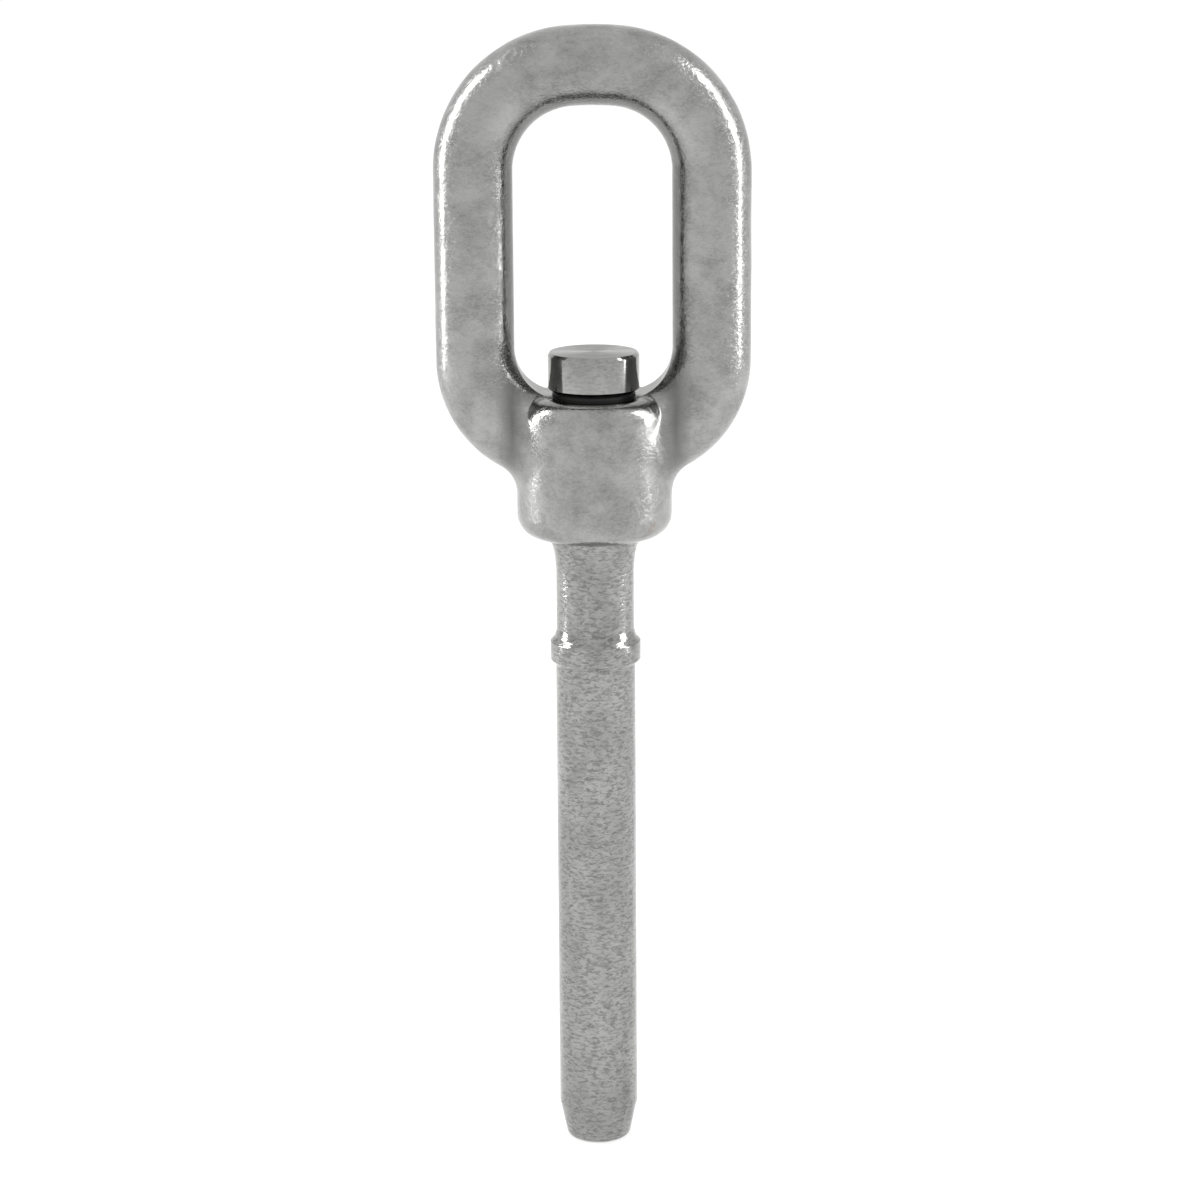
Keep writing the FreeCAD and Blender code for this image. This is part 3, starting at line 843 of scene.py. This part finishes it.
def make_eye():
    bar = bar_mesh()
    hub = hub_mesh()
    blank = remeshed(joined(bar, hub))
    blend_onto(blank, bar, hub)
    add_relief(blank)
    blank.materials.clear()
    blank.materials.append(FORGED)
    cutters = [saddle_mesh(), bore_mesh()]
    for cutter in cutters:
        cutter.materials.append(MACHINED_PAINTED_REFLECTION)
    mesh = cut(blank, cutters)
    smooth(mesh, 32)
    add_grain(mesh)
    eye = add_object("forged_eye", mesh)
    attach(eye, "eye")
    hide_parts("eye")


# Turned pieces

FLARE_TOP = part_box("thrust_washer")[0].z / MM - 0.03

def make_shank():
    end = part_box("shank")[0].z / MM
    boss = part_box("upper_race")[1].z / MM
    profile = rounded([
        (0, end, 0),
        (4.75, end, 0.9),
        (6.0, -69.85, 0.6),
        (6.0, 0, 0.06),
        (6.8, 0.85, 0.1),
        (6.8, 3.6, 0.12),
        (6.15, 4.3, 0.35),
        (5.84, 5.5, 1.2),
        (5.84, 14.6, 3.0),
        (6.05, 16.9, 4.0),
        (6.35, 18.2, 2.0),
        (6.8, FLARE_TOP - 0.25, 0.05),
        (6.8, FLARE_TOP, 0.08),
        (4.0, FLARE_TOP, 0),
        (4.0, COUNTERBORE_BOTTOM, 0.1),
        (3.6, COUNTERBORE_BOTTOM, 0),
        (3.6, boss, 0.1),
        (3.0, boss, 0),
        (3.0, 45.2, 0.1),
        (2.6, 45.6, 0.1),
        (0, 45.6, 0),
    ])
    mesh = lathe("turned_shank", profile, 256)
    mesh.materials.append(TURNED)
    smooth(mesh, 40)
    shank = add_object("turned_shank", mesh)
    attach(shank, "shank")
    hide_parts("shank")


def make_head():
    low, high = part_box("head_cap")
    bottom, top = low.z / MM, high.z / MM
    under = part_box("seal_ring")[1].z / MM + 0.03
    profile = rounded([
        (3.0, bottom, 0),
        (5.1, bottom, 0.1),
        (5.1, under, 0),
        (6.3, under, 0.06),
        (6.8, under + 0.42, 0.08),
        (6.8, top - 0.45, 0.1),
        (6.5, top, 0.06),
        (0, top, 0),
        (0, top - 1.5, 0),
        (3.0, top - 1.5, 0),
        (3.0, bottom, 0),
    ])
    mesh = lathe("button_head", profile[:-1], 256, closed=True)
    mesh.materials.append(TURNED_HEAD)
    mesh.materials.append(FACED)
    pin_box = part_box("lock_pin")
    height = (pin_box[0].z + pin_box[1].z) / 2 / MM
    hole = lathe("pin_hole", [(0, 1.2), (0.83, 1.2), (0.83, 6.7), (0.95, 6.85), (0.95, 8), (0, 8)], 48)
    hole.transform(Matrix.Translation((0, 0, height * MM)) @ Matrix.Rotation(-math.pi / 2, 4, "X"))
    hole.materials.append(DOWEL)
    mesh = cut(mesh, [hole])
    for polygon in mesh.polygons:
        centre = polygon.center
        if centre.z > high.z - 0.02 * MM and polygon.normal.z > 0.9:
            polygon.material_index = 1
    smooth(mesh, 30)
    head = add_object("button_head", mesh)
    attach(head, "shank")
    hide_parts("head_cap")


def finish_inner_pieces():
    finishes = {
        "lock_pin": DOWEL,
        "upper_race": GROUND,
        "lower_race": GROUND,
        "ball_cage": BRASS,
        # The seal ring and thrust washer are black partly as painted shade in the gaps where they show.
        "seal_ring": BLACK_RUBBER_AND_GAP_SHADE,
        "guide_bush": BRONZE,
        "thrust_washer": BLACK_POLYMER_AND_GAP_SHADE,
    }
    for name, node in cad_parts.items():
        if name in ("eye", "shank", "head_cap"):
            continue
        node.data.materials.clear()
        node.data.materials.append(finishes.get(name, BALL))


# Studio: a pale floor, a white background that the metal shows too, and soft lamps

FLOOR_RADIUS = 12000
FLOOR_CORNERS = 96
FLOOR_COLOUR = (0.5, 0.5, 0.5, 1)
FLOOR_GLOW = 0.62


def background_rays(tree):
    """1 for the rays that see the background: camera, glossy and transmission."""
    path = tree.nodes.new("ShaderNodeLightPath")
    seen = path.outputs["Is Camera Ray"]
    for ray in ("Is Glossy Ray", "Is Transmission Ray"):
        either = tree.nodes.new("ShaderNodeMath")
        either.operation = "MAXIMUM"
        tree.links.new(seen, either.inputs[0])
        tree.links.new(path.outputs[ray], either.inputs[1])
        seen = either.outputs[0]
    return seen


def build_floor():
    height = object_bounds()[0][2]
    points = []
    for step in range(FLOOR_CORNERS):
        angle = 2 * math.pi * step / FLOOR_CORNERS
        points.append((FLOOR_RADIUS * math.cos(angle), FLOOR_RADIUS * math.sin(angle), height / MM))
    mesh = mesh_from("floor", points, [list(range(FLOOR_CORNERS))])
    material = bpy.data.materials.new("pale_floor")
    material.use_nodes = True
    tree = material.node_tree
    tree.nodes.clear()
    output = tree.nodes.new("ShaderNodeOutputMaterial")
    diffuse = tree.nodes.new("ShaderNodeBsdfDiffuse")
    diffuse.inputs["Color"].default_value = FLOOR_COLOUR
    glow = tree.nodes.new("ShaderNodeEmission")
    level = tree.nodes.new("ShaderNodeMath")
    level.operation = "MULTIPLY"
    level.inputs[1].default_value = FLOOR_GLOW
    tree.links.new(background_rays(tree), level.inputs[0])
    tree.links.new(level.outputs[0], glow.inputs["Strength"])
    add = tree.nodes.new("ShaderNodeAddShader")
    tree.links.new(diffuse.outputs[0], add.inputs[0])
    tree.links.new(glow.outputs[0], add.inputs[1])
    tree.links.new(add.outputs[0], output.inputs["Surface"])
    mesh.materials.append(material)
    floor = add_object("floor", mesh)


def build_world():
    """White to the camera and in the metal; a plain grey level lights the part."""
    world = bpy.data.worlds.new("studio")
    bpy.context.scene.world = world
    world.use_nodes = True
    tree = world.node_tree
    tree.nodes.clear()
    plain = tree.nodes.new("ShaderNodeBackground")
    plain.inputs["Color"].default_value = (0.80, 0.80, 0.80, 1)
    white = tree.nodes.new("ShaderNodeBackground")
    white.inputs["Color"].default_value = (1, 1, 1, 1)
    mix = tree.nodes.new("ShaderNodeMixShader")
    tree.links.new(background_rays(tree), mix.inputs[0])
    tree.links.new(plain.outputs[0], mix.inputs[1])
    tree.links.new(white.outputs[0], mix.inputs[2])
    output = tree.nodes.new("ShaderNodeOutputWorld")
    tree.links.new(mix.outputs[0], output.inputs["Surface"])


# Azimuth in degrees from the camera's side (positive to the right), distance,
# height, width, tallness (m), watts.
STRIP_LAMPS = (
    ("left_strip", -100, 0.75, 0.30, 0.16, 0.8, 5.0),
    ("right_strip", 88, 0.75, 0.30, 0.16, 0.8, 4.0),
)


def build_lamps():
    for name, azimuth, distance, height, width, tallness, watts in STRIP_LAMPS:
        light = bpy.data.lights.new(name, "AREA")
        light.shape = "RECTANGLE"
        light.size = width
        light.size_y = tallness
        light.energy = watts
        lamp = bpy.data.objects.new(name, light)
        turn = math.radians(azimuth)
        lamp.location = (distance * math.sin(turn), -distance * math.cos(turn), height)
        lamp.rotation_euler = (-lamp.location).to_track_quat("-Z", "Y").to_euler()
        bpy.context.scene.collection.objects.link(lamp)


CAMERA_DISTANCE = 519.88
CAMERA_HEIGHT = 133.49
CAMERA_PITCH = 13.393
CAMERA_YAW = 0.0783
CAMERA_ROLL = 0.388
CAMERA_LENS = 106.64


def build_camera():
    data = bpy.data.cameras.new("camera")
    data.lens = CAMERA_LENS
    data.sensor_width = 36
    data.clip_start = 0.01
    camera = bpy.data.objects.new("camera", data)
    pitch, yaw, roll = (math.radians(value) for value in (CAMERA_PITCH, CAMERA_YAW, CAMERA_ROLL))
    forward = Vector((math.sin(yaw) * math.cos(pitch), math.cos(yaw) * math.cos(pitch), -math.sin(pitch)))
    right = Vector((math.cos(yaw), -math.sin(yaw), 0))
    up = right.cross(forward)
    right, up = (
        right * math.cos(roll) - up * math.sin(roll),
        up * math.cos(roll) + right * math.sin(roll),
    )
    turn = Matrix((right, up, -forward)).transposed().to_4x4()
    camera.matrix_world = Matrix.Translation((0, -CAMERA_DISTANCE * MM, CAMERA_HEIGHT * MM)) @ turn
    bpy.context.scene.collection.objects.link(camera)
    bpy.context.scene.camera = camera


make_eye()
make_shank()
make_head()
finish_inner_pieces()
build_floor()
build_world()
build_lamps()
build_camera()
bpy.context.scene.view_settings.view_transform = "Standard"
